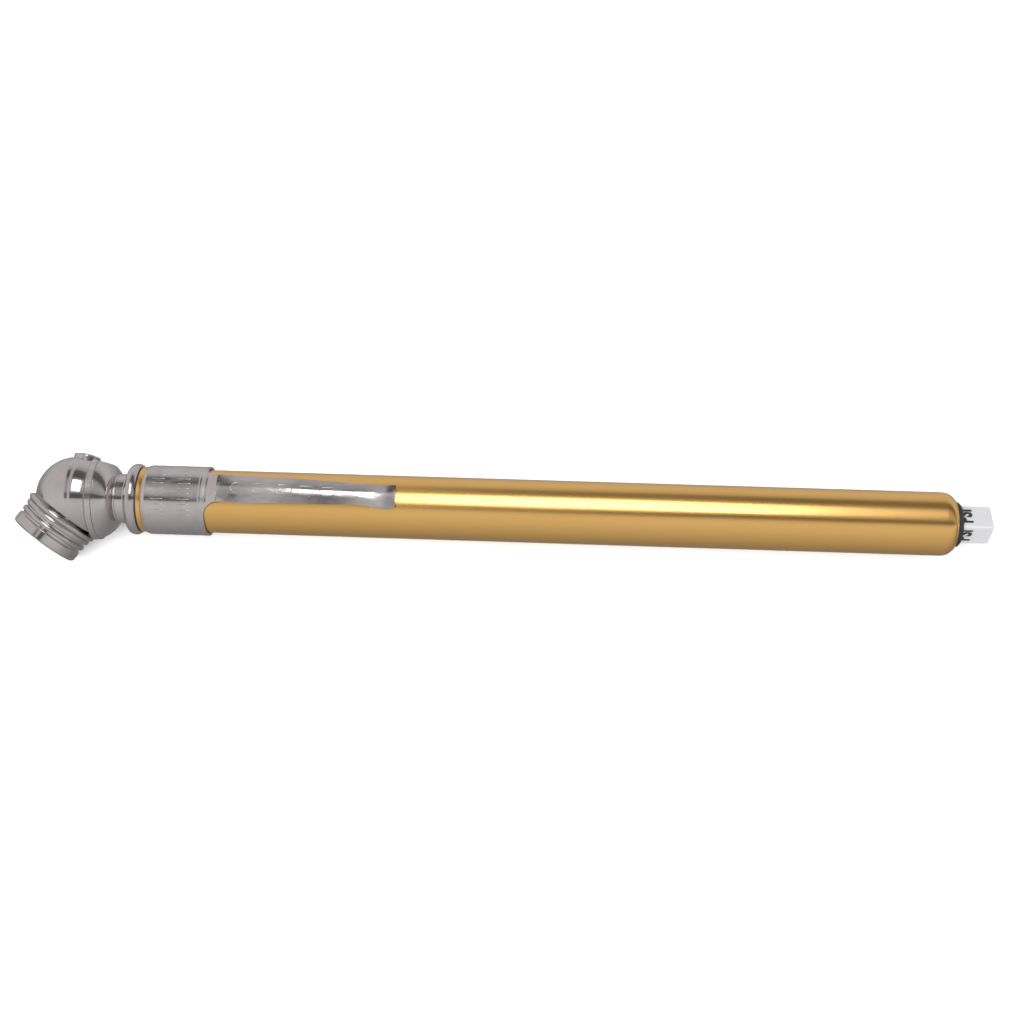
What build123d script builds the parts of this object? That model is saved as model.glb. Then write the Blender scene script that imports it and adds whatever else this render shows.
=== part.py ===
import os
from math import cos, radians, sin, sqrt

from build123d import *

# Pencil tyre-pressure gauge: an angled ball foot that seals on the tyre valve, a socket with a neck, a
# gold barrel with a pocket clip, and a square indicator bar that a sprung piston pushes out of the end.
#
# The gauge lies on its side: the barrel points along +X, the foot turns towards -Y and a little down,
# so that its ring rests on the surface as the socket's rim does, and the clip is on top. The origin is
# the centre of its footprint, on the surface below it.
# All lengths are in millimetres. "x" is measured along the barrel's axis from the centre of the ball,
# and "s" along the foot's axis from the same point.

# --- Driving dimensions -------------------------------------------------------------------------
# Barrel
barrel_r = 5.0
barrel_wall = 0.55
flare_r = 5.2  # rolled lip beside the flange
nose_start = 136.9  # end of the straight tube
nose_r = 2.3  # outside radius of the spun-over end
nose_hole_r = 3.6

# Ball head
head_roll = 8.7  # degrees that the foot and the stud are turned about the barrel, with the foot down
ball_r = 6.5
seam_x = 3.0  # where the ball meets the socket
seam_gap = 0.2  # shadow line between them
rim_r = 6.7  # the socket's rim, the lowest point of the gauge
rim_land = 1.0
tail_r = 4.7  # round tail of the ball, inside the socket
tail_end = 4.9
o_ring_x = 3.7
o_ring_r = 4.42
o_ring_wire_r = 0.31
neck_start = 6.75
neck_r = 3.92
flange_start = 8.2
flange_r = 5.68
flange_end = 10.5
gasket_thickness = 0.25
spigot_end = 15.6  # end of the neck's spigot, inside the barrel
air_bore_r = 1.5
air_hollow_r = 2.4  # below the depressor pin

# Foot
foot_bend = 54.5  # degrees between the foot's axis and the barrel's axis
foot_end = 8.7
sleeve_start = 3.6  # the ball is cut flat here for the ribbed sleeve
sleeve_spigot_r = 4.95
valve_bore_r = 4.1  # takes an 8V1 tyre valve, 7.75 mm over its thread
plate_seat = 2.9  # the depressor pin's plate lies here
seal_seat = 3.4
seal_face = 4.6
groove_r = 4.4  # undercut that holds the seal
ring_start = 6.9
ring_r = 5.65
ring_seat_r = 5.0
ring_lip = 7.9
ring_chamfer = 0.25

# Deflator stud, sunk in a pocket that crosses the seam, above a spot-faced flat
flat_lean = 8.0  # degrees towards the barrel from square to it
flat_height = 6.0
stud_lean = 9.0
stud_top = 7.15
stud_rim_fillet = 0.25
stud_seat = 5.4
stud_r = 2.1
shank_r = 0.7
shank_end = 3.9

# Pocket clip
clip_roll = 4.8  # degrees from +Z towards +Y
clip_wall = 0.4
band_r = 5.5
band_start = 11.6
band_end = 21.45
root_fillet = 1.8  # where the finger leaves the band
root_half_width = 2.3
clip_slit = 0.5  # gap at the back of the band
ramp_start = 22.1
ramp_end = 23.4

# Indicator bar and its bush
bar_side = 4.3
bar_roll = -21.8  # degrees that the bar's faces are turned about the barrel's axis
bar_inner_end = 81.0
bar_outer_end = 144.5
bar_corner = 0.3
bar_tail_r = 1.6
stop_r = 3.2
stop_length = 1.5
bush_start = 131.0
bush_nose_r = 3.5
bush_tip = 139.75
bar_gap = 0.06  # between the bar and the bush

# Piston and spring
cup_front = 16.0
cup_depth = 2.4
cup_base = 0.8
cup_wall = 0.6
piston_plate = 0.8
piston_plate_r = 4.1
piston_boss_r = 3.1
piston_boss = 2.6
screw_r = 0.92
screw_hole_r = 0.95
screw_head = 1.0
spreader_wall = 0.3
rod_r = 1.25
rod_socket = 1.2
spring_wire = 0.8
spring_mean_r = 3.75
spring_turns = 22
seat_thickness = 0.5
seat_hole_r = 3.08
running_gap = 0.03  # piston cup to bore, and other close fits
touch_gap = 0.05  # between faces that only push on each other

# --- Worked out from them -----------------------------------------------------------------------
bore_r = barrel_r - barrel_wall
tube_start = flange_end + gasket_thickness
nose_end = nose_start + sqrt(nose_r**2 - (nose_hole_r - barrel_r + nose_r) ** 2)
cup_back = cup_front + cup_depth + cup_base
plate_back = cup_back + piston_plate
boss_end = plate_back + piston_boss
rod_start = boss_end - rod_socket
seat_front = bush_start - seat_thickness

foot_side_dir = Vector(0, -cos(radians(head_roll)), -sin(radians(head_roll)))
foot_dir = Vector(-cos(radians(foot_bend)), 0, 0) + foot_side_dir * sin(radians(foot_bend))
reach = foot_end - ring_chamfer  # the ring's widest circle, beside its chamfer
left_end = foot_dir.X * reach - ring_r * sqrt(1 - foot_dir.X**2)
near_side = foot_dir.Y * reach - ring_r * sqrt(1 - foot_dir.Y**2)
far_side = stud_top  # close to the top of the stud's dome, which leans by a few degrees
ball = Vector(-(left_end + bar_outer_end) / 2, -(near_side + far_side) / 2, rim_r)

os.makedirs("parts", exist_ok=True)

barrel_axis = Axis(origin=ball, direction=(1, 0, 0))
foot_axis = Axis(origin=ball, direction=foot_dir)
# Half sections: across, then up, is (x, radius) for the barrel and (radius, s) for the foot.
barrel_section = Plane(origin=ball, x_dir=(1, 0, 0), z_dir=(0, 0, 1))
foot_across = Vector(foot_dir.Y, -foot_dir.X, 0)
foot_section = Plane(origin=ball, x_dir=foot_across, z_dir=foot_across.cross(foot_dir))


def across_barrel(x, roll=0.0):
    """The plane square to the barrel at x, facing the bar's end, with its first axis turned from +Y."""
    turned = Vector(0, cos(radians(roll)), sin(radians(roll)))
    return Plane(origin=ball + Vector(x, 0, 0), x_dir=turned, z_dir=(1, 0, 0))


def across_foot(s):
    """The plane square to the foot's axis at s, facing out of the mouth."""
    return Plane(origin=ball + foot_dir * s, z_dir=foot_dir)


def across_lean(height, lean):
    """The plane at that height from the ball's centre, on the stud's side, leaning towards the barrel."""
    line = Vector(sin(radians(lean)), 0, 0) - foot_side_dir * cos(radians(lean))
    return Plane(origin=ball + line * height, z_dir=line)


def cylinder_on(plane, radius, length, mode=Mode.ADD, hole=0.0):
    """A round bar, or a tube if it has a hole, that stands on the plane."""
    with BuildSketch(plane) as profile:
        Circle(radius)
        if hole:
            Circle(hole, mode=Mode.SUBTRACT)
    extrude(profile.sketch, amount=length, mode=mode)


def stud_pocket():
    """Cut the spot-faced flat and the stud's pocket. The ball and the socket both need it."""
    cylinder_on(across_lean(flat_height, flat_lean), ball_r, ball_r, Mode.SUBTRACT)
    cylinder_on(across_lean(stud_seat, stud_lean), stud_r + touch_gap, ball_r, Mode.SUBTRACT)


# --- Head ---------------------------------------------------------------------------------------
# Cast ball, cut flat for the foot's sleeve. Its tail plugs into the socket.
with BuildPart() as ball_body:
    with Locations(ball):
        Sphere(ball_r)
    split(bisect_by=across_barrel(seam_x - seam_gap), keep=Keep.BOTTOM)
    cylinder_on(across_barrel(0), tail_r, tail_end)
    cylinder_on(across_foot(sleeve_start), ball_r, ball_r, Mode.SUBTRACT)
    cylinder_on(across_foot(plate_seat), sleeve_spigot_r + running_gap, 2.0, Mode.SUBTRACT)
    cylinder_on(across_foot(-air_bore_r), air_hollow_r, plate_seat + air_bore_r, Mode.SUBTRACT)
    cylinder_on(across_barrel(0), air_bore_r, tail_end, Mode.SUBTRACT)
    groove = o_ring_wire_r + touch_gap
    groove_floor = o_ring_r - o_ring_wire_r
    cylinder_on(across_barrel(o_ring_x - groove), tail_r, 2 * groove, Mode.SUBTRACT, hole=groove_floor)
    stud_pocket()
    cylinder_on(across_lean(shank_end, stud_lean), shank_r + running_gap, 2.0, Mode.SUBTRACT)
ball_body.part.label = "ball_body"
export_step(ball_body.part, "parts/ball_body.step")

# Ribbed sleeve of the foot. Its spigot sits in the ball, and its bore takes the valve.
with BuildPart() as foot_sleeve:
    with BuildSketch(foot_section):
        with BuildLine():
            Polyline((groove_r, seal_face), (groove_r, plate_seat), (sleeve_spigot_r, plate_seat))
            Polyline((sleeve_spigot_r, plate_seat), (sleeve_spigot_r, sleeve_start), (5.8, sleeve_start))
            ThreePointArc((5.8, sleeve_start), (6.1, sleeve_start + 0.4), (5.85, sleeve_start + 0.88))
            Line((5.85, sleeve_start + 0.88), (5.62, sleeve_start + 0.94))
            ThreePointArc(
                (5.62, sleeve_start + 0.94),
                (5.82, sleeve_start + 1.38),
                (5.6, sleeve_start + 1.82),
            )
            Polyline((5.6, sleeve_start + 1.82), (5.3, sleeve_start + 1.88), (5.3, sleeve_start + 2.1))
            Line((5.3, sleeve_start + 2.1), (5.5, sleeve_start + 2.15))
            ThreePointArc((5.5, sleeve_start + 2.15), (5.74, sleeve_start + 2.55), (5.5, sleeve_start + 2.95))
            Polyline((5.5, sleeve_start + 2.95), (5.25, sleeve_start + 3.0), (5.25, ring_start))
            Polyline((5.25, ring_start), (ring_seat_r, ring_start), (ring_seat_r, ring_lip))
            Polyline((ring_seat_r, ring_lip), (valve_bore_r, ring_lip), (valve_bore_r, seal_face))
            Line((valve_bore_r, seal_face), (groove_r, seal_face))
        make_face()
    revolve(axis=foot_axis)
foot_sleeve.part.label = "foot_sleeve"
export_step(foot_sleeve.part, "parts/foot_sleeve.step")

# Rim ring, screwed on the end of the foot. It guides the gauge onto the valve.
with BuildPart() as foot_ring:
    cylinder_on(across_foot(ring_start), ring_r, foot_end - ring_start, hole=ring_seat_r + running_gap)
    cylinder_on(across_foot(ring_lip + running_gap), ring_seat_r + 0.2, foot_end - ring_lip - running_gap)
    cylinder_on(across_foot(ring_lip), valve_bore_r, foot_end - ring_lip, Mode.SUBTRACT)
    rims = foot_ring.edges().filter_by(GeomType.CIRCLE)
    chamfer(rims.filter_by(lambda edge: abs(edge.radius - ring_r) < 0.01), ring_chamfer)
    mouth = rims.filter_by(lambda edge: abs(edge.radius - valve_bore_r) < 0.01)
    chamfer(mouth.sort_by(foot_axis)[-1], 0.3)
foot_ring.part.label = "foot_ring"
export_step(foot_ring.part, "parts/foot_ring.step")

# Rubber washer that seals on the end of the valve.
with BuildPart() as foot_seal:
    cylinder_on(across_foot(seal_seat), groove_r - running_gap, seal_face - seal_seat, hole=1.9)
    outer_edges = foot_seal.edges().filter_by(GeomType.CIRCLE).group_by(SortBy.RADIUS)[-1]
    fillet(outer_edges, 0.2)
foot_seal.part.label = "foot_seal"
export_step(foot_seal.part, "parts/foot_seal.step")

# Perforated plate with the pin that opens the valve core. Its tip stays below the seal's face.
with BuildPart() as depressor_pin:
    cylinder_on(across_foot(plate_seat), groove_r - running_gap, seal_seat - plate_seat)
    with BuildSketch(across_foot(plate_seat)):
        with PolarLocations(1.6, 4):
            Circle(0.45)
    extrude(amount=seal_seat - plate_seat, mode=Mode.SUBTRACT)
    cylinder_on(across_foot(plate_seat), 0.8, seal_face - plate_seat - 0.2)
    fillet(depressor_pin.faces().sort_by(foot_axis)[-1].edges(), 0.35)
depressor_pin.part.label = "depressor_pin"
export_step(depressor_pin.part, "parts/depressor_pin.step")

# Blunt stud that presses a valve core to let air out.
with BuildPart() as deflator_stud:
    cylinder_on(across_lean(stud_seat, stud_lean), stud_r, stud_top - stud_seat + 0.1)
    with Locations(ball):
        Sphere(stud_top, mode=Mode.INTERSECT)
    rims = deflator_stud.edges().filter_by(GeomType.CIRCLE)
    fillet(rims.filter_by(lambda edge: abs(edge.radius - stud_r) < 0.01).sort_by(Axis.Y)[-1], stud_rim_fillet)
    cylinder_on(across_lean(shank_end + touch_gap, stud_lean), shank_r, stud_seat - shank_end)
deflator_stud.part.label = "deflator_stud"
export_step(deflator_stud.part, "parts/deflator_stud.step")

# O-ring between the ball's tail and the socket.
with BuildPart() as ball_gasket:
    with BuildSketch(barrel_section):
        with Locations((o_ring_x, o_ring_r)):
            Circle(o_ring_wire_r)
    revolve(axis=barrel_axis)
ball_gasket.part.label = "ball_gasket"
export_step(ball_gasket.part, "parts/ball_gasket.step")

# Socket, neck and flange in one turned piece. Its spigot plugs into the barrel.
with BuildPart() as neck_socket:
    with BuildSketch(barrel_section):
        land_end = seam_x + rim_land
        land_r = rim_r - 0.1
        spigot_r = bore_r - running_gap
        with BuildLine():
            Polyline((spigot_end, air_bore_r), (seam_x, air_bore_r), (seam_x, rim_r - 0.15))
            Polyline((seam_x, rim_r - 0.15), (seam_x + 0.15, rim_r), (land_end, land_r))
            Line((land_end, land_r), (land_end + 0.06, land_r - 0.2))
            ThreePointArc((land_end + 0.06, land_r - 0.2), (5.5, 5.55), (neck_start - 0.1, 4.05))
            ThreePointArc((neck_start - 0.1, 4.05), (neck_start, 3.82), (neck_start + 0.3, neck_r))
            Line((neck_start + 0.3, neck_r), (flange_start, neck_r))
            ThreePointArc((flange_start, neck_r), (flange_start + 0.24, 4.03), (flange_start + 0.32, 4.35))
            Line((flange_start + 0.32, 4.35), (flange_start + 0.52, 4.95))
            ThreePointArc((flange_start + 0.52, 4.95), (flange_end - 0.8, flange_r), (flange_end, 5.3))
            Polyline((flange_end, 5.3), (flange_end, spigot_r), (spigot_end, spigot_r))
            Line((spigot_end, spigot_r), (spigot_end, air_bore_r))
        make_face()
    revolve(axis=barrel_axis)
    cylinder_on(across_barrel(seam_x), tail_r + touch_gap, tail_end - seam_x + touch_gap, Mode.SUBTRACT)
    stud_pocket()
neck_socket.part.label = "neck_socket"
export_step(neck_socket.part, "parts/neck_socket.step")

# Thin rubber gasket between the flange and the barrel.
with BuildPart() as head_gasket:
    cylinder_on(across_barrel(flange_end), 5.12, gasket_thickness, hole=bore_r)
head_gasket.part.label = "head_gasket"
export_step(head_gasket.part, "parts/head_gasket.step")

# --- Barrel and clip ----------------------------------------------------------------------------
with BuildPart() as barrel_tube:
    with BuildSketch(barrel_section):
        inner_nose_r = nose_r - barrel_wall
        inner_nose_end = nose_start + sqrt(inner_nose_r**2 - (nose_hole_r - barrel_r + nose_r) ** 2)
        flare_end = band_start - 0.1
        with BuildLine():
            Polyline((nose_start, bore_r), (tube_start, bore_r), (tube_start, flare_r))
            Polyline((tube_start, flare_r), (flare_end - 0.35, flare_r), (flare_end, barrel_r))
            Line((flare_end, barrel_r), (nose_start, barrel_r))
            RadiusArc((nose_start, barrel_r), (nose_end, nose_hole_r), nose_r)
            Line((nose_end, nose_hole_r), (inner_nose_end, nose_hole_r))
            RadiusArc((inner_nose_end, nose_hole_r), (nose_start, bore_r), -inner_nose_r)
        make_face()
    revolve(axis=barrel_axis)
barrel_tube.part.label = "barrel_tube"
export_step(barrel_tube.part, "parts/barrel_tube.step")

# Spring-steel clip: a sleeve around the barrel, split at the back, and an arched finger with a spoon.
clip_up = Vector(0, sin(radians(clip_roll)), cos(radians(clip_roll)))
clip_top = Plane(origin=ball, x_dir=(1, 0, 0), z_dir=clip_up)  # seen from above the finger
clip_side = clip_up.cross(Vector(1, 0, 0))
clip_inner_r = band_r - clip_wall
# The root's outer face: a shallow dip at the band's edge, then a steep ramp.
root_face = [
    (band_end - 0.9, band_r),
    (band_end, band_r),
    (ramp_start - 0.1, band_r),
    (ramp_start + 0.25, band_r + 0.08),
    (ramp_end - 0.4, 5.95),
    (ramp_end + 0.2, 6.12),
]
# The finger's sections: x, height of the ridge, and each edge as (place across, height).
finger_sections = [
    (ramp_end + 0.15, 6.12, (-2.28, 5.67), (2.28, 5.67)),
    (26.0, 6.22, (-2.28, 5.62), (2.28, 5.62)),
    (31.0, 6.2, (-2.2, 5.55), (2.2, 5.55)),
    (37.0, 5.98, (-2.02, 5.38), (2.05, 5.38)),
    (42.5, 5.75, (-1.9, 5.2), (1.85, 5.22)),
    (45.7, 5.65, (-1.88, 5.15), (1.68, 5.25)),
    (48.6, 5.6, (-2.28, 5.12), (1.5, 5.33)),
    (51.55, 5.8, (-2.2, 5.32), (1.5, 5.52)),
]


# How the finger falls away from its ridge: (share of the way to the edge, share of the drop).
finger_fall = [(1.0, 1.0), (0.55, 0.43), (0.2, 0.09), (0.0, 0.0)]


def roof(ridge, low, high):
    """Points across the finger, from its low edge over the ridge to its high edge."""
    falling = [(low[0] * out, ridge - (ridge - low[1]) * drop) for out, drop in finger_fall]
    rising = [(high[0] * out, ridge - (ridge - high[1]) * drop) for out, drop in finger_fall[-2::-1]]
    return falling + rising


def finger_section(x, ridge, low, high):
    """A thin strip across the finger, like a low roof with a rounded ridge."""
    plane = Plane(origin=ball + Vector(x, 0, 0), x_dir=clip_side, z_dir=(1, 0, 0))
    low_back = (low[0] + 0.1, low[1] - clip_wall)
    high_back = (high[0] - 0.1, high[1] - clip_wall)
    with BuildSketch(plane) as strip:
        with BuildLine():
            Spline(roof(ridge, low, high))
            Spline(roof(ridge - clip_wall, low_back, high_back))
            Line(low, low_back)
            Line(high, high_back)
        make_face()
    return strip.sketch.faces()[0]


with BuildPart() as pocket_clip:
    root_end = root_face[-1][0]
    with BuildSketch(barrel_section):
        root_back = [(x, height - clip_wall) for x, height in root_face]
        with BuildLine():
            Polyline(root_back[0], (band_start, clip_inner_r), (band_start, band_r - 0.18))
            Polyline((band_start, band_r - 0.18), (band_start + 0.55, band_r), root_face[0])
            Spline(root_face)
            Line(root_face[-1], root_back[-1])
            Spline(root_back)
        make_face()
    revolve(axis=barrel_axis)
    # Beyond the band, only the root of the finger stays.
    cut_length = root_end + 1 - band_end
    cut_middle = band_end + cut_length / 2
    with BuildSketch(clip_top):
        with Locations((cut_middle, 0)):
            Rectangle(cut_length, 4 * band_r)
    extrude(amount=-2 * band_r, mode=Mode.SUBTRACT)
    with BuildSketch(clip_top):
        with Locations((cut_middle, 0)):
            Rectangle(cut_length, 4 * band_r)
            Rectangle(cut_length, 2 * root_half_width, mode=Mode.SUBTRACT)
        for side in (1, -1):
            with Locations((band_end + root_fillet / 2, side * (root_half_width + root_fillet / 2))):
                Rectangle(root_fillet, root_fillet, mode=Mode.SUBTRACT)
            with Locations((band_end + root_fillet, side * (root_half_width + root_fillet))):
                Circle(root_fillet)
    extrude(amount=2 * band_r, mode=Mode.SUBTRACT)
    with BuildSketch(clip_top):
        with Locations(((band_start + band_end) / 2, 0)):
            Rectangle(2 * band_end, clip_slit)
    extrude(amount=-2 * band_r, mode=Mode.SUBTRACT)
    loft([finger_section(*section) for section in finger_sections])
pocket_clip.part.label = "pocket_clip"
export_step(pocket_clip.part, "parts/pocket_clip.step")

# --- Bush and indicator bar ---------------------------------------------------------------------
hole_side = bar_side + 2 * bar_gap
leaf_slot_width = 1.8
leaf_slot_end = 136.0
with BuildPart() as end_bush:
    with BuildSketch(barrel_section):
        shoulder_r = nose_r - barrel_wall - touch_gap
        shoulder_end = nose_start + sqrt(shoulder_r**2 - (bush_nose_r - barrel_r + nose_r) ** 2)
        body_r = bore_r - touch_gap
        with BuildLine():
            Polyline((nose_start, body_r), (bush_start, body_r), (bush_start, 0), (bush_tip, 0))
            Polyline((bush_tip, 0), (bush_tip, bush_nose_r - 0.3), (bush_tip - 0.3, bush_nose_r))
            Line((bush_tip - 0.3, bush_nose_r), (shoulder_end, bush_nose_r))
            RadiusArc((shoulder_end, bush_nose_r), (nose_start, body_r), -shoulder_r)
        make_face()
    revolve(axis=barrel_axis)
    with BuildSketch(across_barrel(bush_start, bar_roll)):
        Rectangle(hole_side, hole_side)
    extrude(amount=bush_tip - bush_start, mode=Mode.SUBTRACT)
    with BuildSketch(across_barrel(bush_start, bar_roll)):
        with Locations((hole_side / 2, 0)):
            Rectangle(1.6, leaf_slot_width)
    extrude(amount=leaf_slot_end - bush_start, mode=Mode.SUBTRACT)
end_bush.part.label = "end_bush"
export_step(end_bush.part, "parts/end_bush.step")

# Bowed leaf spring in the bush. It rubs on the bar, so that the bar stays where the piston left it.
across_bar = Vector(0, cos(radians(bar_roll)), sin(radians(bar_roll)))
leaf_side = Plane(origin=ball, x_dir=(1, 0, 0), z_dir=Vector(1, 0, 0).cross(across_bar))
leaf_low = bar_side / 2 + touch_gap
leaf_high = leaf_low + 0.5
leaf_wall = 0.12
with BuildPart() as bar_leaf_spring:
    with BuildSketch(leaf_side):
        leaf_start = bush_start + 0.2
        leaf_end = leaf_slot_end - 0.2
        leaf_middle = (leaf_start + leaf_end) / 2
        with BuildLine():
            ThreePointArc((leaf_start, leaf_high), (leaf_middle, leaf_low), (leaf_end, leaf_high))
            Line((leaf_end, leaf_high), (leaf_end, leaf_high + leaf_wall))
            ThreePointArc(
                (leaf_end, leaf_high + leaf_wall),
                (leaf_middle, leaf_low + leaf_wall),
                (leaf_start, leaf_high + leaf_wall),
            )
            Line((leaf_start, leaf_high + leaf_wall), (leaf_start, leaf_high))
        make_face()
    extrude(amount=leaf_slot_width / 2 - 0.1, both=True)
bar_leaf_spring.part.label = "bar_leaf_spring"
export_step(bar_leaf_spring.part, "parts/bar_leaf_spring.step")

# Square bar that carries the printed scale. Its round tail holds the stop collar.
with BuildPart() as indicator_bar:
    with BuildSketch(across_barrel(bar_inner_end + stop_length, bar_roll)):
        RectangleRounded(bar_side, bar_side, bar_corner)
    extrude(amount=bar_outer_end - bar_inner_end - stop_length)
    chamfer(indicator_bar.faces().sort_by(Axis.X)[-1].edges(), 0.15)
    cylinder_on(across_barrel(bar_inner_end), bar_tail_r, stop_length)
indicator_bar.part.label = "indicator_bar"
export_step(indicator_bar.part, "parts/indicator_bar.step")

# Collar that stops the bar at the spring seat.
with BuildPart() as bar_stop:
    cylinder_on(across_barrel(bar_inner_end), stop_r, stop_length, hole=bar_tail_r + running_gap)
    outer_edges = bar_stop.edges().filter_by(GeomType.CIRCLE).group_by(SortBy.RADIUS)[-1]
    chamfer(outer_edges, 0.25)
bar_stop.part.label = "bar_stop"
export_step(bar_stop.part, "parts/bar_stop.step")

# --- Piston and spring --------------------------------------------------------------------------
# Rubber cup whose lip faces the pressure.
with BuildPart() as piston_cup:
    with BuildSketch(barrel_section):
        cup_r = bore_r - running_gap
        with BuildLine():
            Polyline(
                (cup_back, screw_hole_r),
                (cup_back - cup_base, screw_hole_r),
                (cup_back - cup_base, cup_r - cup_wall),
                (cup_front + 0.4, cup_r - cup_wall),
                (cup_front, cup_r - 0.2),
                (cup_front, cup_r),
                (cup_back - 0.3, cup_r),
                (cup_back, cup_r - 0.3),
                close=True,
            )
        make_face()
    revolve(axis=barrel_axis)
piston_cup.part.label = "piston_cup"
export_step(piston_cup.part, "parts/piston_cup.step")

# Dished washer that keeps the cup's lip spread.
with BuildPart() as cup_spreader:
    with BuildSketch(barrel_section):
        spreader_back = cup_back - cup_base
        with BuildLine():
            Polyline(
                (spreader_back, screw_hole_r),
                (spreader_back - spreader_wall, screw_hole_r),
                (spreader_back - spreader_wall, 2.9),
                (spreader_back - 1.0, 3.5),
                (spreader_back - 0.8, 3.7),
                (spreader_back, 3.1),
                close=True,
            )
        make_face()
    revolve(axis=barrel_axis)
cup_spreader.part.label = "cup_spreader"
export_step(cup_spreader.part, "parts/cup_spreader.step")

# Screw that clamps the washer and the cup to the piston.
with BuildPart() as piston_screw:
    screw_seat = spreader_back - spreader_wall
    cylinder_on(across_barrel(screw_seat - screw_head), 1.7, screw_head)
    fillet(piston_screw.edges().filter_by(GeomType.CIRCLE).sort_by(Axis.X)[0], 0.3)
    with BuildSketch(across_barrel(screw_seat - screw_head)):
        Rectangle(4.0, 0.5)
    extrude(amount=0.45, mode=Mode.SUBTRACT)
    cylinder_on(across_barrel(screw_seat), screw_r, rod_start - screw_seat - 0.2)
piston_screw.part.label = "piston_screw"
export_step(piston_screw.part, "parts/piston_screw.step")

# Plate behind the cup, with a boss that centres the spring and holds the rod.
with BuildPart() as piston_head:
    cylinder_on(across_barrel(cup_back), piston_plate_r, piston_plate)
    cylinder_on(across_barrel(plate_back), piston_boss_r, piston_boss)
    chamfer(piston_head.edges().sort_by(Axis.X)[-1], 0.4)
    cylinder_on(across_barrel(cup_back), screw_hole_r, boss_end - cup_back, Mode.SUBTRACT)
    cylinder_on(across_barrel(rod_start), rod_r + running_gap, boss_end - rod_start, Mode.SUBTRACT)
piston_head.part.label = "piston_head"
export_step(piston_head.part, "parts/piston_head.step")

# Rod inside the spring that pushes the bar out.
with BuildPart() as push_rod:
    cylinder_on(across_barrel(rod_start), rod_r, bar_inner_end - touch_gap - rod_start)
    chamfer(push_rod.edges().sort_by(Axis.X)[-1], 0.2)
push_rod.part.label = "push_rod"
export_step(push_rod.part, "parts/push_rod.step")

# Compression spring that sets the reading.
with BuildPart() as calibrated_spring:
    coil_start = plate_back + spring_wire / 2 + touch_gap
    coil_length = seat_front - plate_back - spring_wire - 2 * touch_gap
    coil_pitch = coil_length / spring_turns
    with BuildLine() as coil:
        Helix(coil_pitch, coil_length, spring_mean_r, ball + Vector(coil_start, 0, 0), (1, 0, 0))
    with BuildSketch(Plane(origin=coil.line @ 0, z_dir=coil.line % 0)):
        Circle(spring_wire / 2)
    sweep(path=coil.line, is_frenet=True)
calibrated_spring.part.label = "calibrated_spring"
export_step(calibrated_spring.part, "parts/calibrated_spring.step")

# Washer between the spring and the bush.
with BuildPart() as spring_seat:
    cylinder_on(across_barrel(seat_front), 4.3, seat_thickness, hole=seat_hole_r)
spring_seat.part.label = "spring_seat"
export_step(spring_seat.part, "parts/spring_seat.step")
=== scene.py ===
import math

import bmesh
import bpy
from mathutils import Euler, Matrix, Vector
from mathutils.bvhtree import BVHTree


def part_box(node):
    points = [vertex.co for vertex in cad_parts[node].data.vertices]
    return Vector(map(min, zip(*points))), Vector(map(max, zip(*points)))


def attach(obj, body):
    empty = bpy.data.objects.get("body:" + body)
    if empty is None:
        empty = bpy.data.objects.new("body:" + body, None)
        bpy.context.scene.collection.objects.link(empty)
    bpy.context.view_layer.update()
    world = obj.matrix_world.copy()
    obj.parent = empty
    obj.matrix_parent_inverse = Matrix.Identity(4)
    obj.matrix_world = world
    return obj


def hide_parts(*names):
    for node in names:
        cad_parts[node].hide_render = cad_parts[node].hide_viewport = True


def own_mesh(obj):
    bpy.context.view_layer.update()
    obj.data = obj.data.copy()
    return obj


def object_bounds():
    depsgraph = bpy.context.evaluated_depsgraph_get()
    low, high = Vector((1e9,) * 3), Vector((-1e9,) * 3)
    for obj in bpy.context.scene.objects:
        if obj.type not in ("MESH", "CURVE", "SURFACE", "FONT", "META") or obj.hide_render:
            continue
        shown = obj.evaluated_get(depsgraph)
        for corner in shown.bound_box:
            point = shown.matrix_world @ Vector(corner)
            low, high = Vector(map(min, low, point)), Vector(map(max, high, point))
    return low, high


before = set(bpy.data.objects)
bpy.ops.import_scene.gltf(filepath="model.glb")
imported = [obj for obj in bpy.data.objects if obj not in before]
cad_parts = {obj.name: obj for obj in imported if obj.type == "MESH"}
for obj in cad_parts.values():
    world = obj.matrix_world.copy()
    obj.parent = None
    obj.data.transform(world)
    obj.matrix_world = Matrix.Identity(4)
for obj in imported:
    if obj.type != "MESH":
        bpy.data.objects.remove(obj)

MM = 0.001
cad_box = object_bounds()

# The barrel's axis runs along X through the middle of the barrel's box, and the ball's centre lies on it.
BALL_TO_TUBE = 10.75 * MM
tube_low, tube_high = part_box("barrel_tube")
AXIS_Y = (tube_low[1] + tube_high[1]) / 2
AXIS_Z = (tube_low[2] + tube_high[2]) / 2
BALL = Vector((tube_low[0] - BALL_TO_TUBE, AXIS_Y, AXIS_Z))
X_AXIS = Vector((1, 0, 0))


# --- Material helpers ------------------------------------------------------------------------------
MIX_FACTOR, MIX_FIRST, MIX_SECOND, MIX_RESULT = 0, 6, 7, 2  # sockets of the Mix node on colours


def add_node(tree, kind, inputs, settings):
    """Adds a node. A socket among the inputs is linked, and any other value is set."""
    node = tree.nodes.new("ShaderNode" + kind)
    for key, value in settings.items():
        setattr(node, key, value)
    for socket, value in (inputs or {}).items():
        if isinstance(value, bpy.types.NodeSocket):
            tree.links.new(value, node.inputs[socket])
        else:
            node.inputs[socket].default_value = value
    return node


def add_ramp(tree, factor, stops):
    """A colour ramp: stops are (position, colour) pairs."""
    node = add_node(tree, "ValToRGB", {"Fac": factor}, {})
    elements = node.color_ramp.elements
    while len(elements) < len(stops):
        elements.new(0.5)
    for element, (position, colour) in zip(elements, stops):
        element.position = position
        element.color = (*colour, 1.0)
    return node.outputs["Color"]


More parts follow.
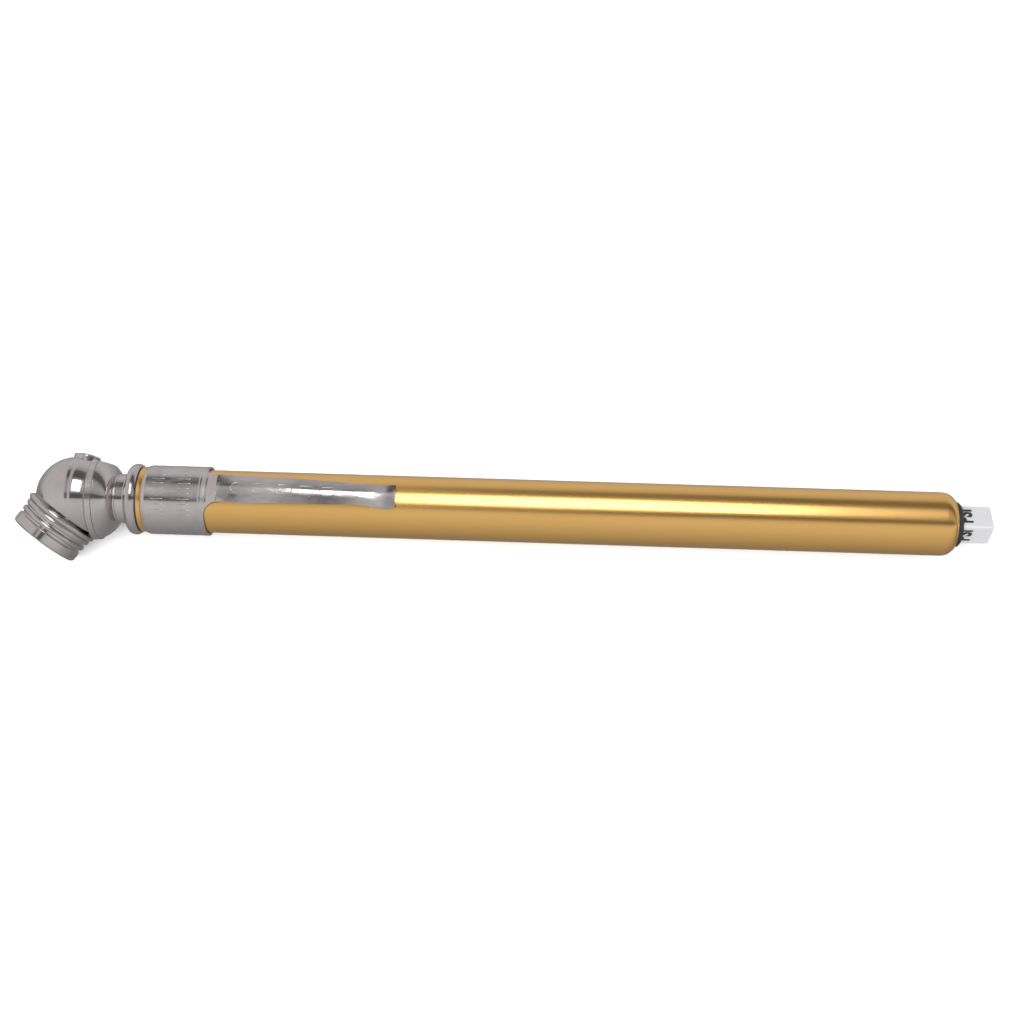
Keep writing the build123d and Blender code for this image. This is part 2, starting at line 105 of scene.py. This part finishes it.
class Nodes:
    """A material with a Principled shader, and short ways to add nodes to it."""

    def __init__(self, name, **sockets):
        self.material = bpy.data.materials.new(name)
        self.material.use_nodes = True
        self.tree = self.material.node_tree
        self.shader = self.tree.nodes["Principled BSDF"]
        self.coords = self.tree.nodes.new("ShaderNodeTexCoord").outputs["Object"]
        for socket, value in sockets.items():
            self.shader.inputs[socket.replace("_", " ")].default_value = value

    def add(self, kind, inputs=None, **settings):
        return add_node(self.tree, kind, inputs, settings)

    def link(self, output, socket):
        self.tree.links.new(output, self.shader.inputs[socket])

    def stretched(self, scale):
        """Object coordinates scaled along each axis, for brushing and drawing lines."""
        return self.add("Mapping", {"Vector": self.coords, "Scale": scale}).outputs["Vector"]

    def noise(self, scale, detail=4.0, roughness=0.55, vector=None):
        inputs = {"Vector": vector or self.coords, "Scale": scale, "Detail": detail, "Roughness": roughness}
        return self.add("TexNoise", inputs).outputs["Fac"]

    def ramp(self, factor, stops):
        """A grey ramp: stops are (position, value) pairs."""
        return add_ramp(self.tree, factor, [(position, (value, value, value)) for position, value in stops])

    def mix(self, factor, first, second):
        """The first colour where the factor is 0, and the second where it is 1. Either may be a socket."""
        first, second = (
            colour if isinstance(colour, bpy.types.NodeSocket) else (*colour, 1.0) for colour in (first, second)
        )
        inputs = {MIX_FACTOR: factor, MIX_FIRST: first, MIX_SECOND: second}
        return self.add("Mix", inputs, data_type="RGBA").outputs[MIX_RESULT]

    def bump(self, height, distance, strength=0.5, normal=None):
        inputs = {"Height": height, "Distance": distance, "Strength": strength}
        if normal:
            inputs["Normal"] = normal
        return self.add("Bump", inputs).outputs["Normal"]


def chrome(name, colour=(0.64, 0.60, 0.60), roughness=0.09, waves=1.0):
    """Bright plate: faint waviness of the casting, fine scratches, and dull spots that vary the gloss."""
    nodes = Nodes(name, Metallic=1.0)
    blotch = nodes.noise(220.0, 3.0)
    fine = nodes.noise(2600.0, 2.0)
    darker = tuple(channel * 0.86 for channel in colour)
    nodes.link(nodes.mix(nodes.ramp(blotch, [(0.35, 0.0), (0.7, 1.0)]), colour, darker), "Base Color")
    scratch = nodes.noise(900.0, 6.0, 0.7, nodes.stretched((0.25, 1.0, 1.6)))
    nodes.link(nodes.ramp(scratch, [(0.45, roughness * 0.75), (0.75, roughness * 2.0)]), "Roughness")
    wavy = nodes.bump(nodes.noise(160.0, 1.0), 0.00005 * waves, 0.35)
    nodes.link(nodes.bump(fine, 0.000004, 0.35, wavy), "Normal")
    return nodes.material


def gold_anodised():
    """Satin gold dye on drawn aluminium: fine lines along the tube and faint streaks of colour."""
    nodes = Nodes("gold_anodised", Metallic=1.0)
    streak = nodes.noise(420.0, 5.0, 0.6, nodes.stretched((0.03, 1.0, 1.0)))
    cloud = nodes.noise(60.0, 3.0)
    warm = nodes.mix(streak, (0.95, 0.58, 0.195), (0.90, 0.54, 0.175))
    nodes.link(nodes.mix(nodes.ramp(cloud, [(0.4, 0.0), (0.7, 0.5)]), warm, (0.91, 0.55, 0.185)), "Base Color")
    nodes.link(nodes.ramp(streak, [(0.3, 0.19), (0.7, 0.26)]), "Roughness")
    lines = nodes.noise(1900.0, 3.0, 0.6, nodes.stretched((0.015, 1.0, 1.0)))
    nodes.link(nodes.bump(lines, 0.000012, 0.5), "Normal")
    return nodes.material


def black_plastic():
    nodes = Nodes("bush_plastic", IOR=1.49, Specular_IOR_Level=0.2)
    grain = nodes.noise(2200.0, 3.0)
    nodes.link(nodes.mix(grain, (0.012, 0.012, 0.013), (0.028, 0.028, 0.030)), "Base Color")
    nodes.link(nodes.ramp(grain, [(0.3, 0.32), (0.7, 0.48)]), "Roughness")
    nodes.link(nodes.bump(grain, 0.00002, 0.3), "Normal")
    return nodes.material


def bar_plastic():
    """White nylon, slightly translucent, with faint extrusion lines along the bar."""
    nodes = Nodes("bar_plastic", IOR=1.52, Subsurface_Weight=0.12, Subsurface_Scale=0.0012)
    lines = nodes.noise(1300.0, 3.0, 0.6, nodes.stretched((0.02, 1.0, 1.0)))
    cloud = nodes.noise(300.0, 3.0)
    nodes.link(nodes.mix(cloud, (0.43, 0.43, 0.44), (0.395, 0.395, 0.405)), "Base Color")
    nodes.link(nodes.ramp(lines, [(0.3, 0.34), (0.7, 0.46)]), "Roughness")
    nodes.link(nodes.bump(lines, 0.00001, 0.35), "Normal")
    return nodes.material


def ink():
    nodes = Nodes("scale_ink", IOR=1.45)
    speck = nodes.noise(4000.0, 2.0)
    nodes.link(nodes.mix(speck, (0.008, 0.008, 0.009), (0.03, 0.03, 0.032)), "Base Color")
    nodes.link(nodes.ramp(speck, [(0.3, 0.45), (0.7, 0.6)]), "Roughness")
    return nodes.material


def rubber(name):
    nodes = Nodes(name, IOR=1.5)
    grain = nodes.noise(1500.0, 4.0)
    nodes.link(nodes.mix(grain, (0.010, 0.010, 0.010), (0.030, 0.029, 0.028)), "Base Color")
    nodes.link(nodes.ramp(grain, [(0.3, 0.55), (0.7, 0.75)]), "Roughness")
    nodes.link(nodes.bump(grain, 0.00003, 0.4), "Normal")
    return nodes.material


def turned_metal(name, colour, roughness=0.28):
    """Bare turned metal, with fine rings square to the barrel's axis."""
    nodes = Nodes(name, Metallic=1.0)
    rings = nodes.noise(2500.0, 3.0, 0.6, nodes.stretched((1.0, 0.05, 0.05)))
    darker = tuple(channel * 0.8 for channel in colour)
    nodes.link(nodes.mix(rings, colour, darker), "Base Color")
    nodes.link(nodes.ramp(rings, [(0.3, roughness * 0.8), (0.7, roughness * 1.3)]), "Roughness")
    nodes.link(nodes.bump(rings, 0.00001, 0.4), "Normal")
    return nodes.material


CHROME = chrome("chrome_head")
CHROME_RING = chrome("chrome_ring", (0.63, 0.59, 0.59), 0.10)
CLIP_PLATE = chrome("clip_plate", (0.65, 0.61, 0.61), 0.13, 0.6)
GOLD = gold_anodised()
RUBBER = rubber("seal_rubber")
STEEL = turned_metal("spring_steel", (0.50, 0.50, 0.52))
BRASS = turned_metal("brass", (0.70, 0.50, 0.20))
PLAIN_ALUMINIUM = turned_metal("aluminium_plain", (0.72, 0.72, 0.73))
BAR = bar_plastic()
FINISHES = {
    "ball_body": CHROME,
    "foot_sleeve": CHROME_RING,
    "neck_socket": CHROME,
    "deflator_stud": CHROME,
    "foot_ring": CHROME_RING,
    "pocket_clip": CLIP_PLATE,
    "barrel_tube": GOLD,
    "foot_seal": RUBBER,
    "ball_gasket": RUBBER,
    "head_gasket": RUBBER,
    "piston_cup": rubber("cup_rubber"),
    "depressor_pin": BRASS,
    "piston_screw": BRASS,
    "piston_head": PLAIN_ALUMINIUM,
    "cup_spreader": STEEL,
    "bar_leaf_spring": STEEL,
    "push_rod": STEEL,
    "calibrated_spring": STEEL,
    "spring_seat": STEEL,
    "end_bush": black_plastic(),
    "indicator_bar": BAR,
    "bar_stop": BAR,
}
for node, material in FINISHES.items():
    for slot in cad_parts[node].material_slots:
        slot.material = material


# --- Print on the indicator bar --------------------------------------------------------------------
INK = ink()
BAR_ROLL = -21.8  # degrees that the bar's faces are turned about the barrel's axis
BAR_HALF = 2.15 * MM
BUSH_TIP = 139.75 * MM  # from the ball's centre, as are the other places along the barrel
UNIT_FOOT = 141.45 * MM  # the side of the unit's letters that is nearer the bar's tip
STROKE = 48.0 * MM  # how far the bar comes out at the end of the scale
FULL_SCALE = 50
INK_THICK = 0.012 * MM
STROKE_WEIGHT = 0.045  # how far the letters' strokes are widened, in the font's own units
LONG_TICK, SHORT_TICK, TICK_WIDTH = 3.5 * MM, 0.9 * MM, 0.16 * MM


def glyphs(text, width, height):
    """The text as triangles in the XY plane, centred across and standing on y = 0, at the size given."""
    curve = bpy.data.curves.new("glyphs", "FONT")
    curve.body = text
    curve.offset = STROKE_WEIGHT
    holder = bpy.data.objects.new("glyphs", curve)
    mesh = bpy.data.meshes.new_from_object(holder)
    shape = bmesh.new()
    shape.from_mesh(mesh)
    bmesh.ops.remove_doubles(shape, verts=shape.verts, dist=0.0001)
    bpy.data.objects.remove(holder)
    bpy.data.curves.remove(curve)
    bpy.data.meshes.remove(mesh)
    low = [min(vert.co[axis] for vert in shape.verts) for axis in (0, 1)]
    high = [max(vert.co[axis] for vert in shape.verts) for axis in (0, 1)]
    for vert in shape.verts:
        vert.co.x = (vert.co.x - (low[0] + high[0]) / 2) / (high[0] - low[0]) * width
        vert.co.y = (vert.co.y - low[1]) / (high[1] - low[1]) * height
    return shape


def rectangle(width, height):
    shape = bmesh.new()
    corners = [(-width / 2, 0), (width / 2, 0), (width / 2, height), (-width / 2, height)]
    shape.faces.new([shape.verts.new((x, y, 0)) for x, y in corners])
    return shape


def print_on(ink_mesh, shape, face, across, along):
    """Adds the flat shape, thickened, to the ink on one face of the bar. Its top points to the ball."""
    angle = math.radians(BAR_ROLL + 90 * face)
    out = Vector((0, math.cos(angle), math.sin(angle)))
    side = out.cross(X_AXIS)
    place = BALL + X_AXIS * along + side * across + out * (BAR_HALF - INK_THICK / 3)
    axes = Matrix((side, (-1, 0, 0), out)).transposed().to_4x4()
    raised = bmesh.ops.extrude_face_region(shape, geom=shape.faces[:])["geom"]
    for vert in raised:
        if isinstance(vert, bmesh.types.BMVert):
            vert.co.z += INK_THICK
    bmesh.ops.recalc_face_normals(shape, faces=shape.faces[:])
    shape.transform(Matrix.Translation(place) @ axes)
    part = bpy.data.meshes.new("part")
    shape.to_mesh(part)
    shape.free()
    ink_mesh.from_mesh(part)
    bpy.data.meshes.remove(part)


def bar_print():
    """The unit at the tip of each face, and behind it the scale that comes out of the bush."""
    inked = bmesh.new()
    for face in range(4):
        print_on(inked, glyphs("PSI", 2.65 * MM, 2.6 * MM), face, 0.0, UNIT_FOOT)
        for pressure in range(2, FULL_SCALE + 1, 2):
            mark = BUSH_TIP - STROKE * pressure / FULL_SCALE
            tens = pressure % 10 == 0
            width = LONG_TICK if tens else SHORT_TICK
            print_on(inked, rectangle(width, TICK_WIDTH), face, (width - LONG_TICK) / 2, mark)
            if tens:
                print_on(inked, glyphs(str(pressure), 1.5 * MM, 1.4 * MM), face, 0.55 * MM, mark + 1.8 * MM)
    new_piece("bar_print", inked, INK, "indicator")


def new_piece(name, shape, material, body, smooth=False):
    mesh = bpy.data.meshes.new(name)
    shape.to_mesh(mesh)
    shape.free()
    mesh.materials.append(material)
    for face in mesh.polygons:
        face.use_smooth = smooth
    piece = bpy.data.objects.new(name, mesh)
    bpy.context.scene.collection.objects.link(piece)
    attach(piece, body)
    return piece


# --- Embossing on the clip -------------------------------------------------------------------------
CLIP_ROLL = math.radians(4.8)
CLIP_UP = Vector((0, math.sin(CLIP_ROLL), math.cos(CLIP_ROLL)))
CLIP_SIDE = CLIP_UP.cross(X_AXIS)
CLIP_CLEAR = 9 * MM  # a radius outside the clip
BEAD_R = 0.08 * MM
BEAD_SINK = 0.01 * MM
OUTLINES, FIRST_OUTLINE, OUTLINE_STEP = 5, 27.2, 3.45  # count, and places along the barrel in mm
RIB_COLUMNS = (14.1, 18.3)  # middles of the raised ribs on the band, in mm
RIB_RADIUS = 5.46 * MM  # radius on which they lie
RIB_TURNS = range(-42, 48, 9)  # degrees about the barrel
RIB_POINTS = (-1.1, -0.9, 0, 0.9, 1.1)  # along each rib from its middle, in mm


def clip_surface():
    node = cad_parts["pocket_clip"]
    shape = bmesh.new()
    shape.from_mesh(node.data)
    tree = BVHTree.FromBMesh(shape)
    shape.free()
    return tree


def bead(shape, points, normals, radius, closed):
    """A round bead along the points, each ring square to the path. An open bead tapers to its ends."""
    sides = 8
    rings = []
    count = len(points)
    for index, (point, normal) in enumerate(zip(points, normals)):
        before = points[index - 1] if closed or index else point
        after = points[(index + 1) % count] if closed or index < count - 1 else point
        along = (after - before).normalized()
        across = along.cross(normal).normalized()
        up = across.cross(along).normalized()
        size = radius if closed or 0 < index < count - 1 else radius * 0.35
        turns = [2 * math.pi * side / sides for side in range(sides)]
        rings.append([shape.verts.new(point + size * (math.cos(a) * across + math.sin(a) * up)) for a in turns])
    for index in range(count if closed else count - 1):
        first, second = rings[index], rings[(index + 1) % count]
        for side in range(sides):
            other = (side + 1) % sides
            shape.faces.new((first[side], first[other], second[other], second[side]))
    if not closed:
        shape.faces.new(rings[0][::-1])
        shape.faces.new(rings[-1])


def stadium(length, height, steps=8):
    """Points round a rounded bar outline centred on (0, 0)."""
    end = height / 2
    straight = length - height
    points = []
    for side in (1, -1):
        for step in range(steps + 1):
            angle = -math.pi / 2 + math.pi * step / steps
            points.append((side * (length / 2 - end + end * math.cos(angle)), side * end * math.sin(angle)))
        points += [(side * (end - length / 2 + straight * (1 - share)), side * end) for share in (0.33, 0.67)]
    return points


def embossing():
    """Plain raised outlines along the finger, and two columns of short raised ribs on the band."""
    tree = clip_surface()
    shape = bmesh.new()
    for number in range(OUTLINES):
        middle = (FIRST_OUTLINE + OUTLINE_STEP * number) * MM
        points, normals = [], []
        for along, across in stadium((2.75 - 0.05 * number) * MM, (1.75 - 0.1 * number) * MM):
            start = BALL + X_AXIS * (middle + along) + CLIP_SIDE * across + CLIP_UP * CLIP_CLEAR
            place, normal = tree.ray_cast(start, -CLIP_UP)[:2]
            points.append(place - normal * BEAD_SINK)
            normals.append(normal)
        bead(shape, points, normals, BEAD_R, True)
    for column in RIB_COLUMNS:
        for turn in RIB_TURNS:
            angle = math.radians(turn)
            out = Vector((0, math.sin(angle), math.cos(angle)))
            points = [BALL + X_AXIS * (column + along) * MM + out * RIB_RADIUS for along in RIB_POINTS]
            bead(shape, points, [out] * len(points), BEAD_R, False)
    bmesh.ops.recalc_face_normals(shape, faces=shape.faces[:])
    new_piece("clip_embossing", shape, CLIP_PLATE, "clip", smooth=True)


# --- Spring ----------------------------------------------------------------------------------------
def coil_spring():
    """The same coil as the CAD node, as a smooth mesh."""
    low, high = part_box("calibrated_spring")
    wire = 0.4 * MM
    mean = (high[1] - low[1]) / 2 - wire
    turns, steps, sides = 22, 24, 8
    length = high[0] - low[0] - 2 * wire
    shape = bmesh.new()
    points, normals = [], []
    for index in range(turns * steps + 1):
        share = index / (turns * steps)
        angle = 2 * math.pi * turns * share
        out = Vector((0, math.cos(angle), math.sin(angle)))
        points.append(Vector((low[0] + wire + length * share, AXIS_Y, AXIS_Z)) + out * mean)
        normals.append(out)
    bead(shape, points, normals, wire * 0.98, False)
    bmesh.ops.recalc_face_normals(shape, faces=shape.faces[:])
    piece = new_piece("coil_spring", shape, STEEL, "root", smooth=True)
    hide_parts("calibrated_spring")
    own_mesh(piece)


bar_print()
embossing()
coil_spring()


# --- Studio ----------------------------------------------------------------------------------------
VIEW_LEAN = 16.2  # degrees that the camera leans from straight up towards -Y; the lights lean with it
# How bright the room is, by the angle in degrees from the camera's side towards +Y.
WALLS = [
    (-180, 0.24), (-139, 0.28), (-114, 0.36), (-96, 0.43), (-81, 0.49), (-67, 0.55), (-43, 0.66), (-20, 0.72),
    (30, 0.68), (103, 0.66), (123, 0.64), (154, 0.42), (180, 0.24),
]
# The same with a dark opening above, around the softbox.
OPENING = [stop for stop in WALLS if stop[0] < -10] + [
    (-8, 0.66), (-5, 0.50), (-3, 0.13), (9, 0.13), (13, 0.40), (30, 0.50), (48, 0.42), (54, 0.30), (60, 0.12),
    (79, 0.16), (87, 0.50),
] + [stop for stop in WALLS if stop[0] > 100]
# How much of the opening shows, by the X of the direction.
OPENING_ALONG = [
    (-0.37, 0.0), (-0.32, 1.0), (-0.24, 1.0), (-0.205, 0.12), (-0.12, 0.12), (-0.08, 1.0), (1.0, 1.0),
]
WALL_TINT = (1.0, 0.985, 0.995)
FILL_POWER = 10.0  # watts
SOFTBOX_DISTANCE = 0.5


def floor():
    """White paper, which stays out of reflections, since the walls stand for it there."""
    mesh = bpy.data.meshes.new("floor")
    half = 1.5
    corners = [(-half, -half, 0), (half, -half, 0), (half, half, 0), (-half, half, 0)]
    mesh.from_pydata(corners, [], [(0, 1, 2, 3)])
    plane = bpy.data.objects.new("floor", mesh)
    bpy.context.scene.collection.objects.link(plane)
    nodes = Nodes("floor_paper", Roughness=0.9)
    paper = nodes.noise(400.0, 3.0)
    nodes.link(nodes.mix(paper, (0.93, 0.93, 0.93), (0.90, 0.90, 0.90)), "Base Color")
    mesh.materials.append(nodes.material)
    plane.location.z = cad_box[0][2]
    plane.visible_glossy = False


def area_light(name, position, target, size, power):
    light = bpy.data.lights.new(name, "AREA")
    light.shape = "RECTANGLE"
    light.size, light.size_y = size
    light.energy = power
    holder = bpy.data.objects.new(name, light)
    holder.location = position
    holder.rotation_euler = (Vector(target) - Vector(position)).to_track_quat("-Z", "Y").to_euler()
    bpy.context.scene.collection.objects.link(holder)
    return holder


def leaning(degrees):
    """The direction at that angle from the camera's side towards +Y, square to the barrel."""
    lean = math.radians(degrees - VIEW_LEAN)
    return Vector((0, math.sin(lean), math.cos(lean)))


def studio():
    """Pale walls, a dark opening above with a long softbox in it, and soft light on the floor."""
    world = bpy.data.worlds.new("studio")
    bpy.context.scene.world = world
    world.use_nodes = True
    tree = world.node_tree

    def add(kind, inputs, **settings):
        return add_node(tree, kind, inputs, settings)

    def spread(value, stops, unit, tint):
        """The tinted grey of the stops at that value. A stop's place times the unit is in the value's unit."""
        start, end = stops[0][0], stops[-1][0]
        factor = add("MapRange", {"Value": value, "From Min": start * unit, "From Max": end * unit})
        colours = [((place - start) / (end - start), [grey * part for part in tint]) for place, grey in stops]
        return add_ramp(tree, factor.outputs["Result"], colours)

    direction = tree.nodes.new("ShaderNodeTexCoord").outputs["Generated"]
    turned = add("Mapping", {"Vector": direction, "Rotation": (math.radians(-VIEW_LEAN), 0, 0)})
    split = add("SeparateXYZ", {"Vector": turned.outputs["Vector"]})
    tilt = add("Math", {0: split.outputs["Y"], 1: split.outputs["Z"]}, operation="ARCTAN2").outputs["Value"]
    degree = math.radians(1)
    mixed = {
        MIX_FACTOR: spread(split.outputs["X"], OPENING_ALONG, 1, (1, 1, 1)),
        MIX_FIRST: spread(tilt, WALLS, degree, WALL_TINT),
        MIX_SECOND: spread(tilt, OPENING, degree, WALL_TINT),
    }
    room = add("Mix", mixed, data_type="RGBA").outputs[MIX_RESULT]
    tree.links.new(room, tree.nodes["Background"].inputs["Color"])
    strip_light("softbox", 0.020, 33.0, (0.21, 0.30), 3.2)
    strip_light("softbox_core", 0.0025, 33.0, (0.165, 0.13), 6.0)
    fill = area_light("fill", BALL + 0.6 * leaning(5.0), BALL + X_AXIS * 0.067, (0.9, 0.9), FILL_POWER)
    fill.visible_glossy = False


def strip_light(name, along, lean, size, radiance):
    """A softbox beside the barrel, at that lean, with its middle at that X. It shows only in reflections."""
    target = Vector((along, AXIS_Y, AXIS_Z))
    power = radiance * math.pi * size[0] * size[1]
    strip = area_light(name, target + SOFTBOX_DISTANCE * leaning(lean), target, size, power)
    strip.visible_diffuse = False


def camera():
    """Looks down on the gauge from 230 mm with a 51 mm lens, turned and tilted by a degree or two."""
    lens = bpy.data.cameras.new("camera")
    lens.lens = 51.0
    lens.sensor_width = 36.0
    holder = bpy.data.objects.new("camera", lens)
    turned = Euler([math.radians(angle) for angle in (0.724, 1.953, 1.801)], "XYZ").to_matrix().to_4x4()
    from_ball = Matrix.Translation((0.07753, -0.00288, 0.22994)) @ turned
    lean = Matrix.Rotation(math.radians(VIEW_LEAN), 4, "X")
    holder.matrix_world = Matrix.Translation(BALL) @ lean @ from_ball
    bpy.context.scene.collection.objects.link(holder)
    bpy.context.scene.camera = holder
    bpy.context.scene.view_settings.view_transform = "Standard"


floor()
studio()
camera()
